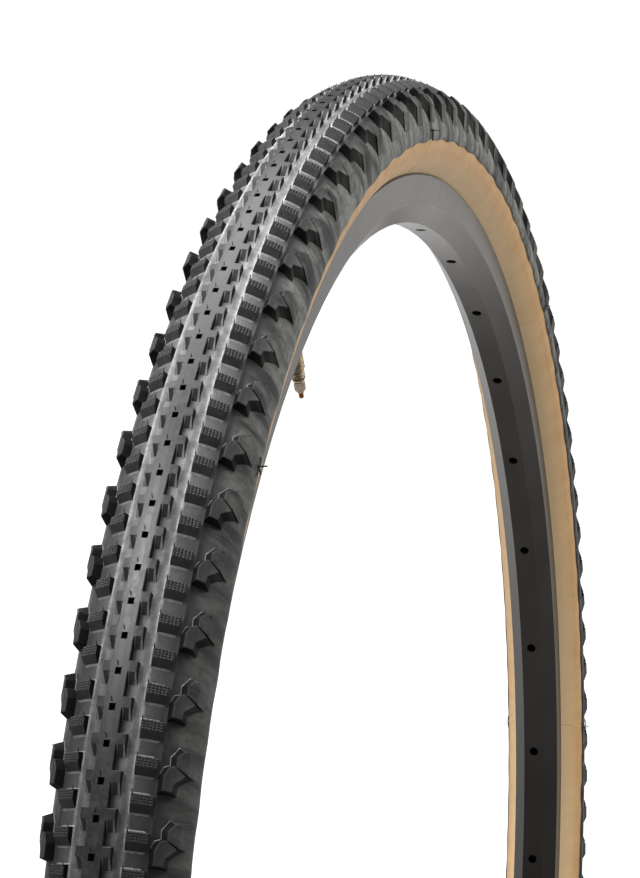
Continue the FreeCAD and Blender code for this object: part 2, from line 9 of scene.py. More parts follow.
import bmesh
import bpy
import numpy as np
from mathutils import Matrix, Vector


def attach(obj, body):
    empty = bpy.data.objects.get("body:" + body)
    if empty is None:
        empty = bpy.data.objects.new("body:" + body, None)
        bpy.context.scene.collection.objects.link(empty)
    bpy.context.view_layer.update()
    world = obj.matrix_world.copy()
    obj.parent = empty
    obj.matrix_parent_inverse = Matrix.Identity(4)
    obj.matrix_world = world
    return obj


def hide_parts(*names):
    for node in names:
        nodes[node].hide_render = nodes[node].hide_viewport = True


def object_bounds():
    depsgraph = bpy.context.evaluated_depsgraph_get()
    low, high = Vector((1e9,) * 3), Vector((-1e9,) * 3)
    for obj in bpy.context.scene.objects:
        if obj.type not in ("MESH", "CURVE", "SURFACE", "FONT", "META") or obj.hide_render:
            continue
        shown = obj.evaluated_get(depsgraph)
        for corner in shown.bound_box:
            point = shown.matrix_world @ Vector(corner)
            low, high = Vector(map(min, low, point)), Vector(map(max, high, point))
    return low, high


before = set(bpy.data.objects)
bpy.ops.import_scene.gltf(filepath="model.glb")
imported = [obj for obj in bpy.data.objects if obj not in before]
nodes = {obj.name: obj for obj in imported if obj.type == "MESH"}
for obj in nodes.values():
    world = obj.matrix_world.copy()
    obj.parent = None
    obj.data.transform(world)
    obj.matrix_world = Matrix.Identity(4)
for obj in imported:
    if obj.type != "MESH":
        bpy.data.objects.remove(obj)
cad_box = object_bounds()
MM = 0.001
rng = np.random.default_rng(7)

# ---------------------------------------------------------------- sizes, in mm
FLOOR_R = 21.1          # section radius of the groove floor
SECTION_R = 333.0       # distance of the section's centre from the axle
TREAD_R = 356.4         # top of the spine
ARC_R = 21.4            # radius of the arc that s is measured along
ARC_LIFT = 2.0          # how far that arc's centre stands above the section's centre
PITCHES = 212
FIRST_HOLE = 70.46      # clock angle of the first square hole, in degrees from the top towards -X
PITCH = 2 * math.pi * TREAD_R / PITCHES


# ---------------------------------------------------------------- mesh helpers
def section_angle(s):
    """Angle from the top of the section of a point s mm across the tread."""
    a = np.asarray(s, float) / ARC_R
    return np.arctan2(ARC_R * np.sin(a), ARC_LIFT + ARC_R * np.cos(a))


def on_tread(s, c, h, pitch=0.0, phi=None):
    """Points in metres for flat tread coordinates, on the given pitch number."""
    c, h = np.asarray(c, float), np.asarray(h, float)
    phi = section_angle(s) if phi is None else np.asarray(phi, float)
    theta = math.radians(FIRST_HOLE) - np.asarray(pitch, float) * 2 * math.pi / PITCHES - c / TREAD_R
    radius = SECTION_R + (FLOOR_R + h) * np.cos(phi)
    across = -(FLOOR_R + h) * np.sin(phi)
    x, y, z = np.broadcast_arrays(-radius * np.sin(theta), across, radius * np.cos(theta))
    return np.stack([x, y, z], -1) * MM


def make_mesh(name, points, faces, shades=None, smooth=False):
    """A new object; shades gives each face its tone."""
    mesh = bpy.data.meshes.new(name)
    mesh.from_pydata(np.asarray(points, float).reshape(-1, 3).tolist(), [], faces)
    if shades is not None:
        layer = mesh.attributes.new("shade", "FLOAT", "FACE")
        layer.data.foreach_set("value", np.asarray(shades, np.float32))
    mesh.polygons.foreach_set("use_smooth", [smooth] * len(mesh.polygons))
    mesh.validate()
    mesh.update()
    obj = bpy.data.objects.new(name, mesh)
    bpy.context.scene.collection.objects.link(obj)
    return obj


def outward(obj):
    """Turn every face of a closed mesh to look outwards."""
    bm = bmesh.new()
    bm.from_mesh(obj.data)
    bmesh.ops.recalc_face_normals(bm, faces=bm.faces)
    bm.to_mesh(obj.data)
    bm.free()
    return obj


def dress(obj, body, slot, mat, *replaced):
    """Give a piece its material and body; slot is not used. A tread piece gets one of three rubbers per face, by
    tone.
    """
    obj.data.materials.clear()
    obj.data.materials.append(mat)
    if mat is tread_mat:
        obj.data.materials.append(wall_mat)
        obj.data.materials.append(block_mat)
        tones = np.empty(len(obj.data.polygons), np.float32)
        obj.data.attributes["shade"].data.foreach_get("value", tones)
        index = np.where(tones < WALL_BELOW, 1, np.where(tones < BLOCK_BELOW, 2, 0))
        obj.data.polygons.foreach_set("material_index", index.astype(np.int32))
    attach(obj, body)
    if replaced:
        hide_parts(*replaced)
    return obj


class Block:
    """One closed lump of tread in flat coordinates, copied round the wheel afterwards."""

    def __init__(self):
        self.flat, self.faces, self.shades = [], [], []

    def point(self, s, c, h, phi=None):
        self.flat.append((s, c, h, section_angle(s) if phi is None else phi))
        return len(self.flat) - 1

    def face(self, corners, shade):
        self.faces.append(tuple(corners))
        self.shades.append(shade)

    def strip(self, low, high, shade):
        """Quads between two loops of the same length; shade is one number or one for each side."""
        n = len(low)
        for i in range(n):
            j = (i + 1) % n
            tone = shade[i] if hasattr(shade, "__len__") else shade
            self.face((low[i], low[j], high[j], high[i]), tone)


def copies(name, parts, jitter=0.0):
    """Join blocks, each given as (block, pitches, side), into one object; jitter moves each copy along c."""
    points, faces, shades, base = [], [], [], 0
    for block, pitches, side in parts:
        s, c, h, phi = np.array(block.flat, float).T
        pitches = np.asarray(pitches, float)[:, None]
        shift = rng.normal(0, jitter, pitches.shape) if jitter else 0.0
        got = on_tread(None, c[None] + shift, h[None], pitches, phi=side * phi[None])
        count = len(block.flat)
        points.append(got.reshape(-1, 3))
        for k in range(len(pitches)):
            offset = base + k * count
            faces += [tuple(offset + i for i in f) for f in block.faces]
            shades += block.shades
        base += len(pitches) * count
    return outward(make_mesh(name, np.concatenate(points), faces, shades))


def inset(outline, width):
    """A plan outline moved inwards by a width, corner by corner."""
    pts = np.array(outline, float)
    area = 0.5 * np.sum(pts[:, 0] * np.roll(pts[:, 1], -1) - np.roll(pts[:, 0], -1) * pts[:, 1])
    sign = 1.0 if area > 0 else -1.0
    out = []
    for i in range(len(pts)):
        before = pts[i] - pts[i - 1]
        after = pts[(i + 1) % len(pts)] - pts[i]
        n1 = sign * np.array([-before[1], before[0]]) / np.linalg.norm(before)
        n2 = sign * np.array([-after[1], after[0]]) / np.linalg.norm(after)
        both = n1 + n2
        out.append(pts[i] + width * both / max(np.dot(both, both) / 2, 0.6))
    return np.array(out)


# ---------------------------------------------------------------- tread shapes
# Tones: each face's place on the rubber's scale, from dark, where walls, ramps and hole floors carry painted shade,
# to dusty and pale.
WALL, RAMP, TOP, SPINE, FLOOR, EDGE, DUST = 0.1, 0.42, 0.5, 0.56, 0.8, 0.92, 1.0
WALL_BELOW, BLOCK_BELOW = 0.35, 0.53    # tones under these take wall_mat and block_mat


def build_band():
    """The spine with its arms, ramps and square holes, as one closed ring."""
    top, sunk, underside = 2.3, -0.12, -0.4
    rounding = 0.18         # drop from the top to the edge of a wall
    hole_depth = 1.9
    arm_start, arm_end, arm_spread = -3.6, 3.45, 0.5
    s_lines = [-6.0, -5.65, -5.3, -5.15, -4.85, -3.2, -2.92, -2.7, -2.5, -1.05, -0.92, 0.72, 0.85,
               2.5, 2.7, 2.92, 3.2, 4.85, 5.15, 5.3, 5.65, 6.0]
    c_lines = [-PITCH / 2, arm_start, -3.25, -1.05, -0.92, 0.0, 0.92, 1.05, 3.0, 3.2, arm_end]

    def arm(s, c):
        along = np.interp(c, [arm_start, -3.25, 0.0, 3.0, 3.2, arm_end],
                          [sunk, 0.1, top, top, top - rounding, sunk])
        if c < arm_start or c > arm_end:
            along = sunk
        across = np.interp(abs(s), [5.15, 5.3, 5.65], [top, top - rounding, sunk])
        return min(along, across)

    def height(s, c):
        spine = np.interp(abs(s), [2.5, 2.7, 2.92], [top, top - rounding, sunk])
        level = max(spine, arm(s, c))
        if -0.95 < s < 0.75 and abs(c) < 0.95:
            level = top - hole_depth
        return level

    rows, cols = len(s_lines), len(c_lines)
    grid = np.array([[height(s, c) for s in s_lines] for c in c_lines])
    total = PITCHES * cols
    pitch = np.repeat(np.arange(PITCHES), cols)[:, None]
    c_all = np.tile(c_lines, PITCHES)[:, None]
    h_all = np.tile(grid, (PITCHES, 1))
    at_toe = np.isin(c_all, (arm_start, -3.25)) & (np.abs(s_lines) > 5)
    spread = np.where(at_toe, arm_spread * np.sign(s_lines), 0.0)
    points = [on_tread(np.array(s_lines)[None] + spread, c_all, h_all, pitch).reshape(-1, 3)]
    under = np.array([-6.0, -3.0, 0.0, 3.0, 6.0])
    points.append(on_tread(under[None], c_all, np.full((total, 1), underside), pitch).reshape(-1, 3))
    faces, shades = [], []
    for j in range(total):
        k = (j + 1) % total
        col = j % cols
        nxt = (col + 1) % cols
        for i in range(rows - 1):
            faces.append((j * rows + i, k * rows + i, k * rows + i + 1, j * rows + i + 1))
            mean = (grid[col, i] + grid[col, i + 1] + grid[nxt, i] + grid[nxt, i + 1]) / 4
            rise = max(abs(grid[col, i] - grid[col, i + 1]), abs(grid[nxt, i] - grid[nxt, i + 1]))
            if mean > top - 0.14 or mean > top - 0.3 and rise < 0.3:
                shades.append(SPINE)
            elif rise < 0.25 and mean > 0.2:
                off_middle = abs(s_lines[i] + s_lines[i + 1]) / 2
                # hole floors take the near black wall tone and the ramps a darker one than the tops: painted shade
                shades.append(WALL if off_middle < 1 else RAMP if 3.1 < off_middle < 4.9 else EDGE)
            elif mean < 0.2 and abs(s_lines[i]) > 2.6:
                shades.append(DUST * 0.9)
            else:
                shades.append(WALL)
        base = total * rows
        below, below_next = base + j * len(under), base + k * len(under)
        for i in range(len(under) - 1):
            faces.append((below + i, below + i + 1, below_next + i + 1, below_next + i))
            shades.append(FLOOR)
        last = len(under) - 1
        faces.append((j * rows, below, below_next, k * rows))
        faces.append((j * rows + rows - 1, k * rows + rows - 1, below_next + last, below + last))
        shades += [FLOOR, FLOOR]
    return outward(make_mesh("centre_band", np.concatenate(points), faces, shades))


def middle_block():
    """A ramped block with a knurled top."""
    block = Block()
    height, columns, rows = 1.95, 6, 4      # the knurl has columns x rows points
    root, tip_height = height - 0.06, height + 0.3
    flare_width = 0.65      # how far the dusty foot spreads
    s_in, s_out, c_foot, c_ramp, c_end = 9.0, 15.3, 2.5, 5.1, 8.15
    s_lines = np.linspace(s_in, s_out, columns + 1)
    c_lines = np.linspace(c_ramp, c_end, rows + 1)
    top = [[block.point(s, c, root) for s in s_lines] for c in c_lines]
    for j in range(rows):
        for i in range(columns):
            s = (s_lines[i] + s_lines[i + 1]) / 2
            c = (c_lines[j] + c_lines[j + 1]) / 2
            tip = block.point(s, c, tip_height)
            a, b, d, e = top[j][i], top[j][i + 1], top[j + 1][i + 1], top[j + 1][i]
            for p, q in ((a, b), (b, d), (d, e), (e, a)):
                block.face((p, q, tip), TOP)
    heel = [block.point(s, c_foot, 0.05) for s in s_lines]
    toe = [block.point(s, c_foot + 0.42, 0.29) for s in s_lines]
    for low, high, tone in ((heel, toe, DUST), (toe, top[0], RAMP)):
        for i in range(columns):
            block.face((low[i], low[i + 1], high[i + 1], high[i]), tone)
    loop = (heel + [toe[-1]] + [row[-1] for row in top] + top[-1][-2::-1]
            + [row[0] for row in top[-2::-1]] + [toe[0]])
    near, foot, tones = [], [], []
    for index in loop:
        s, c, h, _ = block.flat[index]
        outer, inner = s > s_out - 0.01, s < s_in + 0.01
        end, start = c > c_end - 0.01, c < c_foot + 0.01
        share = h / height
        ds = (0.5 if outer else -0.15 if inner else 0.0) * share
        dc = (0.2 if end else 0.0) * share
        flare = 0.0 if outer else flare_width
        near.append(block.point(s + ds, c + dc, min(0.22, h * 0.5)))
        foot_s = s + ds - (flare if inner else 0.0)
        foot.append(block.point(foot_s, c + dc + flare * (int(end) - int(start)), -0.12))
        tones.append(WALL * 2 if outer and not end else DUST)
    block.strip(near, loop, WALL)
    block.strip(foot, near, tones)
    block.face(foot, FLOOR)
    return block


def side_block(outline, foot_shift, outer, tones, walls):
    """A shoulder block from its top outline.

    foot_shift moves each foot corner; outer says how far inside its top corner a flank corner's foot lies,
    and is 0 for the other corners; tones shade the lower part of each wall and walls the upper part.
    """
    block = Block()
    height, bevel, along = 3.3, 0.2, 0.6
    sunk, foot_sunk = -0.3, -0.12       # depth of the flank corners and of the other foot corners
    fillet = 0.4                        # how far the fillet at the foot spreads
    droop_from, droop = 21.0, 0.13      # the top falls away beyond this s, by so much for each mm
    edge = np.array(outline, float) + (0.0, along)
    crown = inset(edge, bevel)
    drop = [max(0.0, s - droop_from) * droop for s, c in edge]
    crown_ids = [block.point(s, c, height - d) for (s, c), d in zip(crown, drop)]
    edge_ids = [block.point(s, c, height - bevel - d) for (s, c), d in zip(edge, drop)]
    middle = block.point(*crown.mean(0), height - np.mean(drop))
    for i in range(len(crown_ids)):
        block.face((crown_ids[i], crown_ids[(i + 1) % len(crown_ids)], middle), RAMP)
    near, foot = [], []
    for (s, c), (ds, dc), flank in zip(edge, foot_shift, outer):
        phi = float(section_angle(s))
        if flank:
            reach = (FLOOR_R + height) * math.sin(phi) - flank
            low_phi = math.asin(min(reach / (FLOOR_R - 0.3), 0.985))
        else:
            low_phi = float(section_angle(s + ds))
        share = (0.7 if flank else 0.5) / (height + 0.3)
        near_phi = low_phi + (phi - low_phi) * share
        if flank:
            foot.append(block.point(0, c + dc, sunk, low_phi))
        else:
            out = 1 + fillet / math.hypot(ds, dc)
            foot.append(block.point(s + ds * out, c + dc * out, foot_sunk))
        near.append(block.point(0, c + dc * (1 - share), sunk + (height + 0.3 - bevel) * share, near_phi))
    block.strip(edge_ids, crown_ids, RAMP)
    block.strip(near, edge_ids, walls)
    block.strip(foot, near, tones)
    block.face(foot, FLOOR)
    return block


def shoulder_blocks():
    first = side_block(
        [(16.9, -1.4), (19.85, -1.5), (20.2, 0.95), (23.85, 4.1), (19.7, 6.2), (18.2, 5.5), (16.9, 2.8)],
        [(-0.25, -0.5), (0.3, -0.5), (0, 0), (0, 0.2), (0, 0.3), (-0.2, 0.3), (-0.25, 0.2)],
        [0, 0.5, 0.7, 0.9, 0, 0, 0],
        [WALL, WALL, WALL, WALL, DUST, DUST, DUST], WALL)
    second = side_block(
        [(20.3, 6.0), (24.5, 4.5), (24.8, 8.2), (25.0, 11.2), (22.3, 10.9), (20.2, 8.8)],
        [(-0.2, -0.1), (0, -0.1), (0, 0), (0, 1.6), (0.2, 1.5), (-0.3, 0.3)],
        [0, 0.9, 0.9, 0.9, 0, 0],
        [WALL, RAMP, RAMP, DUST, DUST, DUST], [WALL, RAMP, RAMP, RAMP, WALL, WALL])
    return first, second


def hair(foot, tip, radius):
    """A thin closed spike of rubber, left by a vent of the mould, from one (s, c, h) point to another."""
    block = Block()
    (s, c, h), (s2, c2, h2) = foot, tip
    rings = []
    for t, width in ((0.0, 1.0), (0.55, 0.8), (1.0, 0.45)):
        bow = 0.12 * math.sin(math.pi * t) * (h2 - h)
        at = (s + (s2 - s) * t, c + (c2 - c) * t + bow, h + (h2 - h) * t)
        rings.append([block.point(at[0] + radius * width * math.cos(a), at[1] + radius * width * math.sin(a), at[2])
                      for a in (0, math.pi / 2, math.pi, 1.5 * math.pi)])
    for low, high in zip(rings, rings[1:]):
        block.strip(low, high, WALL)
    block.face(rings[0], WALL)
    block.face(rings[-1], TOP)
    return block


def ring_mesh(name, section, columns, wave, shade):
    """A closed ring from a closed section of (across, radius) points in mm; wave shifts radii round the ring."""
    section = np.array(section, float)
    n = len(section)
    theta = np.arange(columns) * 2 * math.pi / columns
    radius = np.repeat(section[None, :, 1], columns, 0) + wave(theta)
    across = np.repeat(section[None, :, 0], columns, 0)
    x = -radius * np.sin(theta)[:, None]
    z = radius * np.cos(theta)[:, None]
    points = np.stack([x, across, z], -1).reshape(-1, 3) * MM
    faces = []
    for j in range(columns):
        k = (j + 1) % columns
        for i in range(n):
            m = (i + 1) % n
            faces.append((j * n + i, j * n + m, k * n + m, k * n + i))
    return outward(make_mesh(name, points, faces, [shade] * len(faces), smooth=True))


def build_cap():
    """The black skin between the two wings, with fine raised lines at each shoulder and wavy lower edges."""
    raised = (41.0, 41.6)   # degrees from the top of the section
    inner_r = 20.43         # section radius of its underside
    half = []
    for deg in (0, 8, 15, 20, 25, 31, 37, 40.6, 41.0, 41.6, 42.0, 47, 53, 59, 65, 70, 75, 80, 85, 90):
        phi = math.radians(deg)
        lift = 0.22 if deg in raised else 0.0
        half.append(((FLOOR_R + lift) * math.sin(phi), SECTION_R + (FLOOR_R + lift) * math.cos(phi)))
    half += [(20.98, 331.9), (20.62, 330.75), (20.4, 330.5)]
    under = [(inner_r * math.sin(math.radians(d)), SECTION_R + inner_r * math.cos(math.radians(d)))
             for d in (89, 60, 30, 0)]
    right = half + under
    left = [(-y, r) for y, r in reversed(right[:-1])]
    section = right + left[:-1]
    moves = np.array([0.0 if r > 332.5 or abs(y) < 20.3 else 1.0 for y, r in section])
    side = np.sign([y for y, r in section])

    def wave(theta):
        phase = theta[:, None] * 106 + 0.9 * side[None]
        return moves[None] * (0.34 * np.sin(phase) + 0.16 * np.sin(theta[:, None] * 59 + 2.0 * side[None]))

    return ring_mesh("tread_cap", section, 4 * PITCHES, wave, FLOOR)


band = build_band()
cap = build_cap()
every = np.arange(PITCHES)
mid = middle_block()
mid_right = copies("knurled_blocks_right", [(mid, every, -1)], jitter=0.02)
mid_left = copies("knurled_blocks_left", [(mid, every, 1)], jitter=0.02)
block_a, block_b = shoulder_blocks()
side_right = copies("shoulder_blocks_right", [(block_a, every[::2], -1), (block_b, every[::2], -1)])
side_left = copies("shoulder_blocks_left", [(block_a, every[::2], 1), (block_b, every[::2], 1)])
spine_hair = hair((-0.3, 1.1, 2.15), (-0.75, 3.1, 2.72), 0.2)
knob_hair = hair((9.3, 7.2, 1.7), (8.9, 9.1, 2.65), 0.22)
shoulder_hair = hair((23.6, 10.9, 2.6), (23.8, 11.7, 3.2), 0.26)
hairs = copies("vent_hairs", [(spine_hair, every, 1), (knob_hair, every, 1), (knob_hair, every, -1),
                              (shoulder_hair, every[::2], 1), (shoulder_hair, every[::2], -1)])


# ---------------------------------------------------------------- seam marks on the sidewalls
FLANK_R, FLANK_OFFSET = 16.65, 3.75     # the tan flank's arc, and its centre's distance from the middle plane
MARKS = [48.8, 4.7, -38.9, -85.4, -130.0, -175.0, -220.0, -265.0]     # clock angles, in degrees
YELLOW_TOP, YELLOW_END = 330.2, 318.6   # radii where a yellow line starts and ends
YELLOW_SLANT, BLACK_SLANT = 0.085, 0.02     # degrees for each mm of radius
BAR_R, BAR_REACH = 334.4, 0.62          # radius of the short bar, and its half length in degrees


def flank_at(radius):
    """How far from the middle plane the tan flank lies at a radius, in mm."""
    return FLANK_OFFSET + math.sqrt(max(FLANK_R ** 2 - (SECTION_R - radius) ** 2, 0.0))


def skin_at(radius):
    """How far from the middle plane the black skin lies at a radius, in mm."""
    return math.sqrt(FLOOR_R ** 2 - (radius - SECTION_R) ** 2)


def thread_mesh(name, paths, width, lift):
    """Thin raised threads along paths of (clock angle, across, radius) points, as closed strips."""
    points, faces = [], []
    for path in paths:
        base = len(points)
        for i, (angle, across, radius) in enumerate(path):
            before, after = path[max(i - 1, 0)], path[min(i + 1, len(path) - 1)]
            run = Vector((math.radians(after[0] - before[0]) * radius, after[1] - before[1], after[2] - before[2]))
            out = Vector((0, math.copysign(1, across) * 0.95, 0.3))
            flat = run.cross(out).normalized()
            for wide, up in ((-1, 0), (0, 1), (1, 0), (0, -1)):
                move = flat * wide * width / 2 + out * up * lift
                t = math.radians(angle) + move.x / radius
                r = radius + move.z
                points.append((-r * math.sin(t) * MM, (across + move.y) * MM, r * math.cos(t) * MM))
        last = len(path) - 1
        for j in range(last):
            for i in range(4):
                k = (i + 1) % 4
                faces.append((base + 4 * j + i, base + 4 * j + k, base + 4 * j + 4 + k, base + 4 * j + 4 + i))
        faces.append(tuple(base + i for i in range(4)))
        faces.append(tuple(base + 4 * last + i for i in range(4)))
    return outward(make_mesh(name, points, faces, [WALL] * len(faces)))


def seam_marks():
    """On each flank a yellow line that slants over the tan, and a short black line above it with a bar across;
    on the -Y side a whisker too, which stands off the black skin."""
    yellow, black = [], []
    for side in (-1, 1):
        for angle in MARKS:
            yellow.append([(angle + (YELLOW_TOP - r) * YELLOW_SLANT, side * flank_at(r), r)
                           for r in np.linspace(YELLOW_TOP, YELLOW_END, 14)])
            black.append([(angle - (r - YELLOW_TOP) * BLACK_SLANT, side * (skin_at(r) + 0.12), r)
                          for r in np.linspace(330.3, 334.6, 7)])
            black.append([(angle + t, side * (skin_at(BAR_R) + 0.25 + 0.5 * (1 - (t / BAR_REACH) ** 2)),
                           BAR_R + 0.3 * t)
                          for t in (-BAR_REACH, -0.3, 0.0, 0.3, BAR_REACH)])
            if side < 0:
                black.append([(angle - 0.1 * t * t, side * (20.9 + 3.0 * t), 334.5 - 0.5 * t * t)
                              for t in (0.0, 0.25, 0.5, 0.75, 1.0)])
    return (thread_mesh("seam_lines_yellow", yellow, 0.6, 0.15),
            thread_mesh("seam_whiskers", black, 0.5, 0.25))


# ---------------------------------------------------------------- materials
RING_R = 0.33           # metres; the radius that turns an angle into a length along the ring


def new_material(name):
    mat = bpy.data.materials.new(name)
    mat.use_nodes = True
    tree = mat.node_tree
    return mat, tree, tree.nodes["Principled BSDF"]


def add(tree, kind, **settings):
    node = tree.nodes.new(kind)
    for key, val in settings.items():
        if key.startswith("in_"):
            node.inputs[key[3:].replace("_", " ")].default_value = val
        else:
            setattr(node, key, val)
    return node


def link(tree, a, b):
    tree.links.new(a, b)


def math_node(tree, kind, a, b=None, c=None):
    """A Math node's output; a, b and c are numbers or sockets."""
    node = tree.nodes.new("ShaderNodeMath")
    node.operation = kind
    for slot, item in enumerate((a, b, c)):
        if item is None:
            continue
        if isinstance(item, (int, float)):
            node.inputs[slot].default_value = item
        else:
            tree.links.new(item, node.inputs[slot])
    return node.outputs[0]


def product(tree, a, b):
    return math_node(tree, "MULTIPLY", a, b)


def mix(tree, factor, a, b):
    """Colour a where the factor is 0, b where it is 1; colours are tuples or sockets."""
    node = tree.nodes.new("ShaderNodeMix")
    node.data_type = "RGBA"
    if isinstance(factor, (int, float)):
        node.inputs[0].default_value = factor
    else:
        tree.links.new(factor, node.inputs[0])
    for socket, item in ((node.inputs[6], a), (node.inputs[7], b)):
        if isinstance(item, (tuple, list)):
            socket.default_value = (*item, 1.0)
        else:
            tree.links.new(item, socket)
    return node.outputs[2]


def ring_coords(tree):
    """The point (along the ring, across it, from the axle) in metres, for textures that follow the wheel,
    and by themselves the distance from the axle, the place across and the height."""
    xyz = add(tree, "ShaderNodeSeparateXYZ")
    link(tree, add(tree, "ShaderNodeTexCoord").outputs["Object"], xyz.inputs[0])
    x, y, z = xyz.outputs
    angle = math_node(tree, "ARCTAN2", x, z)
    radius = math_node(tree, "SQRT", math_node(tree, "ADD", product(tree, x, x), product(tree, z, z)))
    out = add(tree, "ShaderNodeCombineXYZ")
    link(tree, product(tree, angle, RING_R), out.inputs[0])
    link(tree, y, out.inputs[1])
    link(tree, radius, out.inputs[2])
    return out.outputs[0], radius, y, z


def height_factor(tree, z):
    """Height squeezed into 0 to 1 for a ramp: 0.5 at the axle, 1 at the top of the wheel."""
    return math_node(tree, "MULTIPLY_ADD", z, 1.4, 0.5)


def scaled(tree, vector, factors):
    node = add(tree, "ShaderNodeVectorMath", operation="MULTIPLY")
    link(tree, vector, node.inputs[0])
    node.inputs[1].default_value = factors
    return node.outputs[0]


def noise(tree, vector, scale, detail=4.0, rough=0.6):
    node = add(tree, "ShaderNodeTexNoise", in_Scale=scale, in_Detail=detail, in_Roughness=rough)
    link(tree, vector, node.inputs["Vector"])
    return node.outputs["Fac"]


def ramp(tree, factor, *stops):
    """Map a factor through (position, value) stops; values are numbers or colours."""
    node = tree.nodes.new("ShaderNodeValToRGB")
    elements = node.color_ramp.elements
    while len(elements) < len(stops):
        elements.new(0.5)
    for element, (at, val) in zip(elements, stops):
        element.position = at
        element.color = (*val, 1.0) if isinstance(val, tuple) else (val, val, val, 1.0)
    link(tree, factor, node.inputs[0])
    return node.outputs[0]


def bump(tree, shader, height, strength, distance):
    node = add(tree, "ShaderNodeBump", in_Strength=strength, in_Distance=distance)
    link(tree, height, node.inputs["Height"])
    link(tree, node.outputs[0], shader.inputs["Normal"])


def tread_material(name, specular, sheen):
    """Moulded rubber: tone gives each face its colour and gloss, and dust lies in the grooves and on the flank.

    The darker tones of the walls, ramps and hole floors are painted shade. The rubber is darkened with height as
    painted shade (the dim ramp, and the height ramps on the dust and the mist), to follow how the light falls off
    down the wheel.
    """
    mat, tree, shader = new_material(name)
    ring, radius, across, z = ring_coords(tree)
    level = height_factor(tree, z)
    tone = add(tree, "ShaderNodeAttribute", attribute_name="shade").outputs["Fac"]
    # turn is the angle round the tyre's section: 0 at the top of the spine, 1 at the widest point
    outwards = math_node(tree, "SUBTRACT", radius, SECTION_R * MM)
    phi = math_node(tree, "ARCTAN2", math_node(tree, "ABSOLUTE", across), outwards)
    turn = product(tree, phi, 2 / math.pi)
    cloud = noise(tree, scaled(tree, ring, (60.0, 45.0, 45.0)), 1.0, 5.0, 0.62)
    flame = noise(tree, scaled(tree, ring, (210.0, 40.0, 40.0)), 1.0, 4.0, 0.55)
    fine = noise(tree, ring, 900.0, 3.0, 0.6)
    mottle = ramp(tree, noise(tree, ring, 420.0, 3.0, 0.7), (0.45, 0.0), (0.62, 1.0))

    # walls get a near black colour and ramps a darker one than the tops: painted shade
    colour = ramp(tree, tone, (0.1, (0.0035, 0.0035, 0.004)), (0.28, (0.008, 0.008, 0.009)),
                  (0.5, (0.013, 0.0133, 0.0138)), (0.56, (0.0142, 0.0147, 0.0168)),
                  (0.8, (0.016, 0.016, 0.0165)), (1.0, (0.21, 0.21, 0.21)))
    # pale dust on the groove floors, in strips beside the spine and the knobs, fading lower down the wheel as
    # painted shade
    is_floor = ramp(tree, tone, (0.6, 0.0), (0.75, 1.0))
    groove = ramp(tree, turn, (0.12, 0.25), (0.165, 0.5), (0.18, 0.32), (0.21, 0.35), (0.235, 0.8),
                  (0.25, 0.62), (0.262, 0.2), (0.38, 0.08), (0.45, 0.0))
    painted_falloff = ramp(tree, level, (0.62, 0.45), (0.76, 0.78), (0.92, 1.0))
    dust_with_painted_falloff = product(tree, product(tree, groove, ramp(tree, cloud, (0.3, 0.32), (0.62, 1.0))), painted_falloff)
    colour = mix(tree, product(tree, dust_with_painted_falloff, is_floor), colour, (0.56, 0.56, 0.563))
    # misty streaks on the flank, fading lower down the wheel as painted shade
    flank = ramp(tree, turn, (0.5, 0.0), (0.64, 1.0))
    misty = product(tree, flank, ramp(tree, flame, (0.38, 0.0), (0.6, 1.0)))
    misty = product(tree, misty, ramp(tree, tone, (0.2, 0.25), (0.6, 1.0)))
    high = ramp(tree, level, (0.7, 0.42), (0.78, 0.5), (0.85, 0.8), (0.95, 1.0))
    colour = mix(tree, product(tree, misty, high), colour, (0.20, 0.20, 0.178))
    # large patches, mottling and fine grit all over
    patch = product(tree, ramp(tree, cloud, (0.45, 0.0), (0.72, 1.0)), ramp(tree, tone, (0.3, 0.04), (0.55, 0.3)))
    colour = mix(tree, product(tree, patch, 0.7), colour, (0.055, 0.055, 0.052))
    mottled = product(tree, mottle, ramp(tree, tone, (0.2, 0.05), (0.45, 0.45)))
    colour = mix(tree, mottled, colour, (0.034, 0.034, 0.034))
    grit = product(tree, ramp(tree, fine, (0.5, 0.0), (0.75, 0.26)), ramp(tree, tone, (0.2, 0.2), (0.5, 1.0)))
    colour = mix(tree, grit, colour, (0.07, 0.07, 0.07))
    # painted shade: all the rubber turns darker towards the bottom of the wheel
    dim = ramp(tree, level, (0.6, 0.62), (0.67, 0.66), (0.74, 0.76), (0.82, 0.94), (0.9, 1.0))
    colour = mix(tree, dim, (0.002, 0.002, 0.0022), colour)
    link(tree, colour, shader.inputs["Base Color"])

    by_tone = ramp(tree, tone, (0.2, 0.5), (0.42, 0.42), (0.5, 0.38), (0.56, 0.17), (0.8, 0.34))
    rough = math_node(tree, "MULTIPLY_ADD", fine, 0.2, by_tone)
    rough = math_node(tree, "ADD", rough, ramp(tree, turn, (0.4, 0.0), (0.5, 0.16)))
    rough = math_node(tree, "MULTIPLY_ADD", mottle, 0.07, rough)
    rough = math_node(tree, "ADD", rough, math_node(tree, "MULTIPLY_ADD", dim, -0.15, 0.15))
    link(tree, math_node(tree, "MULTIPLY_ADD", cloud, 0.1, rough), shader.inputs["Roughness"])
    shader.inputs["Specular IOR Level"].default_value = specular
    shader.inputs["Sheen Weight"].default_value = sheen
    shader.inputs["Sheen Roughness"].default_value = 0.35
    height = math_node(tree, "ADD", product(tree, fine, 0.6), product(tree, cloud, 0.4))
    bump(tree, shader, height, 0.25, 0.0001)
    return mat


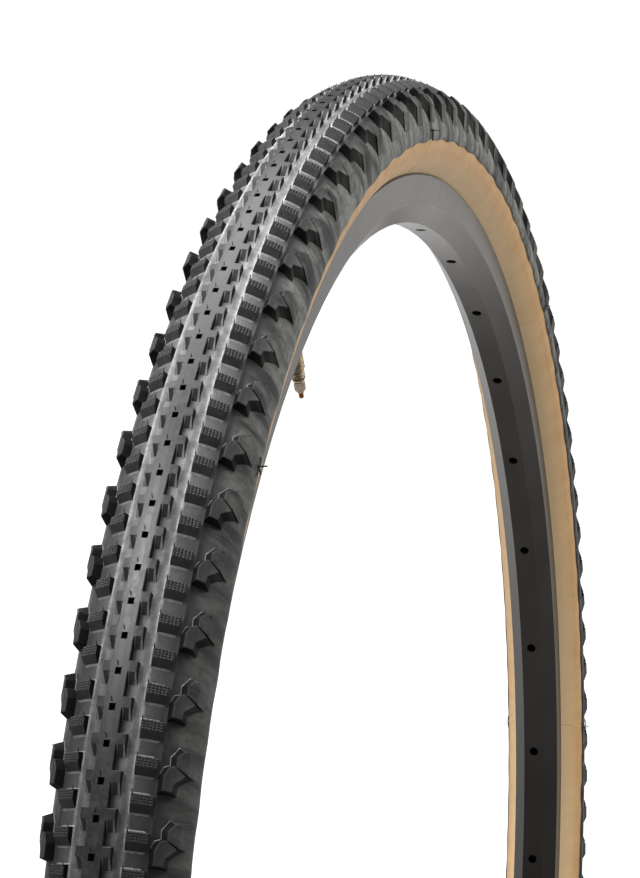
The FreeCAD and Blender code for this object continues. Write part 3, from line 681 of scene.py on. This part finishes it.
def tan_material():
    """Cloudy tan rubber, paler beside the rim and under the black skin, with the casing's cords showing faintly."""
    mat, tree, shader = new_material("tan_skin_rubber")
    ring, radius, _, _ = ring_coords(tree)
    cloud = noise(tree, scaled(tree, ring, (150.0, 25.0, 25.0)), 1.0, 5.0, 0.6)
    patch = noise(tree, ring, 260.0, 4.0, 0.6)
    grain = noise(tree, ring, 2200.0, 2.0, 0.5)
    body = mix(tree, ramp(tree, cloud, (0.3, 0.0), (0.7, 1.0)), (0.475, 0.272, 0.113), (0.555, 0.34, 0.155))
    body = mix(tree, ramp(tree, patch, (0.45, 0.0), (0.8, 0.45)), body, (0.42, 0.27, 0.145))
    near_rim = ramp(tree, math_node(tree, "MULTIPLY_ADD", radius, 80.0, -25.2), (0.12, 1.0), (0.85, 0.0))
    body = mix(tree, product(tree, near_rim, 0.75), body, (0.80, 0.62, 0.38))
    near_cap = ramp(tree, math_node(tree, "MULTIPLY_ADD", radius, 100.0, -32.9), (0.08, 0.0), (0.2, 0.4))
    body = mix(tree, near_cap, body, (0.62, 0.50, 0.34))
    link(tree, body, shader.inputs["Base Color"])
    link(tree, ramp(tree, patch, (0.3, 0.5), (0.7, 0.66)), shader.inputs["Roughness"])
    shader.inputs["Specular IOR Level"].default_value = 0.25
    cords = add(tree, "ShaderNodeTexWave", wave_type="BANDS", bands_direction="DIAGONAL", in_Scale=480.0,
                in_Distortion=0.6)
    link(tree, ring, cords.inputs["Vector"])
    height = math_node(tree, "ADD", product(tree, cords.outputs["Fac"], 0.35), grain)
    bump(tree, shader, height, 0.18, 0.0001)
    return mat


def rim_material():
    """Dark anodised metal with fine drawing lines along the ring, darkened towards the bottom of the wheel as
    painted shade, as the tread is.
    """
    mat, tree, shader = new_material("rim_anodised")
    ring, _, _, z = ring_coords(tree)
    drawn = noise(tree, scaled(tree, ring, (300.0, 1200.0, 1200.0)), 1.0, 3.0, 0.6)
    blot = noise(tree, ring, 30.0, 4.0, 0.6)
    blotted = ramp(tree, blot, (0.35, 0.0), (0.7, 1.0))
    colour = mix(tree, blotted, (0.078, 0.071, 0.063), (0.108, 0.099, 0.09))
    # painted shade: the metal turns darker towards the bottom of the wheel
    dim = ramp(tree, height_factor(tree, z), (0.45, 0.14), (0.5, 0.16), (0.6, 0.28), (0.72, 0.36), (0.86, 0.5),
               (0.91, 0.8), (0.935, 1.0))
    colour = mix(tree, dim, (0.008, 0.007, 0.006), colour)
    link(tree, colour, shader.inputs["Base Color"])
    shader.inputs["Metallic"].default_value = 0.65
    link(tree, ramp(tree, drawn, (0.3, 0.32), (0.7, 0.36)), shader.inputs["Roughness"])
    bump(tree, shader, drawn, 0.02, 0.00005)
    return mat


def metal_material(name, bright, dull, rough):
    """Bare or plated metal with tarnish and turning scratches."""
    mat, tree, shader = new_material(name)
    coords = add(tree, "ShaderNodeTexCoord").outputs["Object"]
    tarnish = noise(tree, coords, 700.0, 4.0, 0.6)
    scratch = noise(tree, scaled(tree, coords, (900.0, 9000.0, 900.0)), 1.0, 3.0, 0.6)
    link(tree, mix(tree, ramp(tree, tarnish, (0.35, 0.0), (0.75, 1.0)), bright, dull), shader.inputs["Base Color"])
    shader.inputs["Metallic"].default_value = 1.0
    link(tree, ramp(tree, scratch, (0.3, rough - 0.08), (0.7, rough + 0.1)), shader.inputs["Roughness"])
    bump(tree, shader, scratch, 0.1, 0.00005)
    return mat


def soft_material(name, low, high, scale, rough):
    """Plain rubber, clouded between two colours."""
    mat, tree, shader = new_material(name)
    ring = ring_coords(tree)[0]
    cloud = noise(tree, ring, scale, 4.0, 0.6)
    tooth = noise(tree, ring, 1500.0, 2.0, 0.5)
    link(tree, mix(tree, ramp(tree, cloud, (0.35, 0.0), (0.7, 1.0)), low, high), shader.inputs["Base Color"])
    link(tree, ramp(tree, tooth, (0.3, rough - 0.06), (0.7, rough + 0.08)), shader.inputs["Roughness"])
    shader.inputs["Specular IOR Level"].default_value = 0.4
    bump(tree, shader, tooth, 0.2, 0.0001)
    return mat


def woven_material(name, low, high, threads):
    """Cloth of crossed threads, for the tape and the plies."""
    mat, tree, shader = new_material(name)
    ring = ring_coords(tree)[0]
    heights = []
    for direction in ("X", "Y"):
        wave = add(tree, "ShaderNodeTexWave", wave_type="BANDS", bands_direction=direction, in_Scale=threads,
                   in_Distortion=0.4)
        link(tree, ring, wave.inputs["Vector"])
        heights.append(wave.outputs["Fac"])
    weave = math_node(tree, "MULTIPLY", *heights)
    link(tree, mix(tree, weave, low, high), shader.inputs["Base Color"])
    link(tree, ramp(tree, weave, (0.2, 0.75), (0.8, 0.58)), shader.inputs["Roughness"])
    bump(tree, shader, weave, 0.4, 0.0002)
    return mat


tread_mat = tread_material("tread_rubber_moulded", 0.3, 0.05)     # spine, groove floors and dusty faces
wall_mat = tread_material("tread_rubber_walls", 0.12, 0.0)        # steep walls, with little gloss
block_mat = tread_material("tread_rubber_blocks", 0.33, 0.0)      # ramps and tops of the knobs
tan_mat = tan_material()
rim_mat = rim_material()
plated = metal_material("valve_nickel", (0.56, 0.48, 0.39), (0.34, 0.27, 0.19), 0.5)
stem_mat = metal_material("valve_stem_dull", (0.33, 0.26, 0.18), (0.17, 0.125, 0.08), 0.52)
brass = metal_material("pin_brass_bare", (0.24, 0.10, 0.022), (0.12, 0.05, 0.012), 0.4)
sleeve_mat = metal_material("sleeve_mill_finish", (0.62, 0.62, 0.63), (0.48, 0.48, 0.49), 0.42)
bead_mat = metal_material("bead_wire_brassed", (0.55, 0.44, 0.28), (0.40, 0.31, 0.19), 0.38)
tape_mat = woven_material("rim_tape_woven", (0.03, 0.05, 0.16), (0.07, 0.10, 0.27), 600.0)
ply_mat = woven_material("casing_cords", (0.38, 0.29, 0.19), (0.56, 0.46, 0.33), 420.0)
breaker_mat = woven_material("breaker_weave", (0.36, 0.33, 0.22), (0.52, 0.49, 0.35), 700.0)
chafer_mat = soft_material("chafer_strip_rubber", (0.02, 0.02, 0.02), (0.05, 0.048, 0.045), 120.0, 0.6)
tube_mat = soft_material("butyl_tube", (0.012, 0.012, 0.013), (0.035, 0.034, 0.033), 60.0, 0.5)
seal_mat = soft_material("seal_rubber_soft", (0.02, 0.02, 0.02), (0.04, 0.04, 0.04), 500.0, 0.55)
yellow_mat = soft_material("seam_yellowed", (0.58, 0.33, 0.07), (0.68, 0.42, 0.11), 300.0, 0.55)

CARRIED = {
    "rim": rim_mat, "rim_joint_sleeve": sleeve_mat, "rim_tape": tape_mat, "carcass": ply_mat,
    "bead_core_right": bead_mat, "bead_core_left": bead_mat, "breaker_strip": breaker_mat,
    "sidewall_right": tan_mat, "sidewall_left": tan_mat, "chafer_right": chafer_mat, "chafer_left": chafer_mat,
    "inner_tube": tube_mat, "valve_base_patch": tube_mat, "core_gasket": seal_mat, "plunger_seal": seal_mat,
    "rim_nut_washer": seal_mat,
}
for name, mat in CARRIED.items():
    obj = nodes[name]
    obj.data.materials.clear()
    obj.data.materials.append(mat)

for piece, *stood_for in ((cap, "tread"), (band,), (mid_right, "middle_knobs_right"),
                          (mid_left, "middle_knobs_left"), (side_right, "shoulder_knobs_right"),
                          (side_left, "shoulder_knobs_left"), (hairs,)):
    dress(piece, "root", "tread_rubber", tread_mat, *stood_for)

seams, whiskers = seam_marks()
dress(seams, "root", "tan_skin", yellow_mat)
dress(whiskers, "root", "tread_rubber", tread_mat)


# ---------------------------------------------------------------- valve
BED_R = 297.8           # radius of the rim's spoke bed, where the valve's own z is 0
VALVE_CLOCK = math.radians(30)
VALVE_DIR = Vector((math.sin(VALVE_CLOCK), 0, -math.cos(VALVE_CLOCK)))      # from the bed towards the axle
VALVE_FOOT = Vector((-BED_R * math.sin(VALVE_CLOCK), 0, BED_R * math.cos(VALVE_CLOCK)))
VALVE_SIDE = Vector((0, 1, 0))
VALVE_UP = VALVE_DIR.cross(VALVE_SIDE)


def on_valve(radius, angle, z):
    flat = VALVE_SIDE * math.cos(angle) + VALVE_UP * math.sin(angle)
    return (VALVE_FOOT + VALVE_DIR * z + flat * radius) * MM


def turned(name, profile, sides, surface=None, bore=0.0):
    """A solid turned about the valve's axis from (radius, z) points; surface(radius, angle, z) shapes it."""
    points, faces = [], []
    rows = list(profile)
    if bore:
        rows = rows + [(bore, rows[-1][1]), (bore, rows[0][1])]
    n = len(rows)
    for j in range(sides):
        angle = 2 * math.pi * j / sides
        for i, (radius, z) in enumerate(rows):
            if surface is not None and i < len(profile):
                radius = surface(radius, angle, z)
            points.append(on_valve(radius, angle, z))
    closed = n if bore else n - 1
    for j in range(sides):
        k = (j + 1) % sides
        for i in range(closed):
            m = (i + 1) % n
            faces.append((j * n + i, k * n + i, k * n + m, j * n + m))
    if not bore:
        faces.append(tuple(j * n for j in range(sides)))
        faces.append(tuple(j * n + n - 1 for j in reversed(range(sides))))
    return outward(make_mesh(name, points, faces))


def threaded(depth, pitch, start, stop):
    """A screw thread cut into a turned surface between two heights."""
    def shape(radius, angle, z):
        if not start < z < stop:
            return radius
        phase = (z / pitch - angle / (2 * math.pi)) % 1.0
        return radius - depth * min(1.0, abs(2 * phase - 1) * 1.6)
    return shape


def rows_between(radius, start, stop, step):
    """Profile points of one radius, close enough together for a thread or flutes."""
    count = max(int(round((stop - start) / step)), 1)
    return [(radius, start + (stop - start) * i / count) for i in range(count + 1)]


def fluted(count, depth, start, stop):
    """Lengthwise grip grooves in a turned surface between two heights."""
    def shape(radius, angle, z):
        if not start <= z <= stop:
            return radius
        return radius - depth * (0.5 + 0.5 * math.cos(count * angle))
    return shape


stem_thread = threaded(0.34, 0.8, 0.0, 14.5)        # 6 mm thread of the rim nut
neck_thread = threaded(0.42, 1.06, 15.3, 18.9)      # thread of the pump head, on the neck
stem = turned("valve_stem_threaded",
              [(3.0, -12.6)] + rows_between(3.0, -0.2, 14.6, 0.1) + [(2.65, 15.0)]
              + rows_between(2.6, 15.02, 18.9, 0.1) + [(2.3, 19.2)], 40,
              lambda r, a, z: stem_thread(neck_thread(r, a, z), a, z), bore=1.8)
core = turned("valve_core_head",
              [(1.74, 0.0), (1.74, 1.98), (1.32, 2.02), (1.32, 3.48), (1.74, 3.52), (1.74, 19.22), (1.9, 19.24),
               (2.1, 19.36), (2.1, 19.86), (1.95, 20.0)], 32, bore=1.0)
nut = turned("lock_nut_knurled",
             [(1.6, 20.06), (2.05, 20.3)] + rows_between(2.05, 20.4, 23.6, 0.4)
             + [(1.9, 23.9), (1.45, 24.4), (1.3, 24.9)], 64, fluted(16, 0.28, 20.35, 23.65), bore=1.0)
pin = turned("core_pin_tip",
             [(1.5, -2.0), (1.5, -1.2), (0.95, -1.18)] + rows_between(0.95, 19.0, 26.8, 0.1)
             + [(0.85, 27.1), (0.6, 27.35), (0.2, 27.4)], 24, threaded(0.16, 0.5, 19.0, 26.8))
ring_nut = turned("rim_nut_knurled",
                  [(4.3, 0.96), (4.9, 1.3)] + rows_between(4.9, 1.35, 3.3, 0.5) + [(4.4, 3.9)], 120,
                  fluted(30, 0.35, 1.3, 3.35), bore=3.05)
dress(stem, "root", "valve_plated", stem_mat, "valve_stem")
dress(core, "root", "valve_plated", plated, "valve_core_body")
dress(nut, "lock_nut", "valve_plated", plated, "lock_nut")
dress(pin, "pin", "pin_brass", brass, "core_pin")
dress(ring_nut, "rim_nut", "valve_plated", plated, "rim_nut")


# ---------------------------------------------------------------- stage
AHEAD = (0.96, 0.28)        # the camera's heading in plan; the stage is white that way
LIGHTS = (                  # name, place, target, size, watts
    ("key", (-0.95, 0.46, 1.24), (-0.3, 0.0, 0.2), (0.4, 0.4), 18.0),
    ("left_side", (-0.2, 1.2, 1.5), (0.0, 0.0, 0.2), (0.9, 0.8), 14.0),
    ("overhead", (0.05, 0.15, 1.75), (0.0, 0.0, 0.0), (1.0, 1.4), 30.0),
    ("right_side", (0.1, -1.3, 1.6), (0.0, 0.0, 0.15), (1.2, 1.0), 25.0),
)


def ahead_of(tree, xyz, scale):
    """How far a point lies along AHEAD, times a scale."""
    return math_node(tree, "MULTIPLY_ADD", xyz.outputs[0], AHEAD[0] * scale,
                     product(tree, xyz.outputs[1], AHEAD[1] * scale))


def build_floor():
    """A pale matt floor that glows white far ahead and, more weakly, far off on every side."""
    half, floor_z = 40, cad_box[0].z - 0.0005
    mat, tree, shader = new_material("studio_floor")
    coords = add(tree, "ShaderNodeTexCoord").outputs["Object"]
    tint = mix(tree, noise(tree, coords, 3.0), (0.31, 0.31, 0.31), (0.34, 0.34, 0.34))
    link(tree, tint, shader.inputs["Base Color"])
    shader.inputs["Roughness"].default_value = 0.9
    shader.inputs["Specular IOR Level"].default_value = 0.1
    shader.inputs["Emission Color"].default_value = (1, 1, 1, 1)
    xyz = add(tree, "ShaderNodeSeparateXYZ")
    link(tree, coords, xyz.inputs[0])
    ahead = ahead_of(tree, xyz, 0.5)
    out_x, out_y = (product(tree, xyz.outputs[i], 0.16) for i in (0, 1))
    squares = math_node(tree, "ADD", product(tree, out_x, out_x), product(tree, out_y, out_y))
    apart = math_node(tree, "SQRT", squares)
    glow = math_node(tree, "MAXIMUM", ramp(tree, ahead, (0.2, 0.0), (0.62, 1.0)),
                     ramp(tree, apart, (0.15, 0.0), (0.8, 0.5)))
    link(tree, glow, shader.inputs["Emission Strength"])
    corners = [(-half, -half, floor_z), (half, -half, floor_z), (half, half, floor_z), (-half, half, floor_z)]
    floor = make_mesh("studio_floor_plane", corners, [(0, 1, 2, 3)])
    floor.data.materials.append(mat)


def build_world():
    """Soft light all round: a wall that is white ahead and grey behind, under a dome that is bright overhead."""
    world = bpy.data.worlds.new("studio")
    bpy.context.scene.world = world
    world.use_nodes = True
    tree = world.node_tree
    xyz = add(tree, "ShaderNodeSeparateXYZ")
    link(tree, add(tree, "ShaderNodeTexCoord").outputs["Generated"], xyz.inputs[0])
    ahead = math_node(tree, "MULTIPLY_ADD", ahead_of(tree, xyz, 1.0), 0.5, 0.5)
    wall = ramp(tree, ahead, (0.1, 0.22), (0.5, 0.45), (0.9, 1.0))
    above_wall = ramp(tree, xyz.outputs[2], (0.19, 0.0), (0.34, 1.0))
    dome = ramp(tree, xyz.outputs[2], (0.5, 0.04), (0.85, 0.7))
    background = tree.nodes["Background"]
    link(tree, mix(tree, above_wall, wall, dome), background.inputs["Color"])
    background.inputs["Strength"].default_value = 1.03


def aimed(obj, place, direction):
    """Put a light or camera in the scene at a place, looking in a direction."""
    obj.location = place
    obj.rotation_euler = direction.to_track_quat("-Z", "Y").to_euler()
    bpy.context.scene.collection.objects.link(obj)
    return obj


def build_lights():
    for name, place, target, size, power in LIGHTS:
        light = bpy.data.lights.new(name, "AREA")
        light.shape = "RECTANGLE"
        light.size, light.size_y = size
        light.energy = power
        aimed(bpy.data.objects.new(name, light), place, Vector(target) - Vector(place))


def build_camera():
    data = bpy.data.cameras.new("photo_camera")
    data.sensor_width = 36.0
    data.lens = 95.65
    data.clip_start, data.clip_end = 0.05, 50.0
    obj = bpy.data.objects.new("photo_camera", data)
    bpy.context.scene.camera = aimed(obj, (-0.9232, -0.2374, 0.2836), Vector((0.9568, 0.2801, -0.0776)))


build_floor()
build_world()
build_lights()
build_camera()
bpy.context.scene.view_settings.view_transform = "Standard"
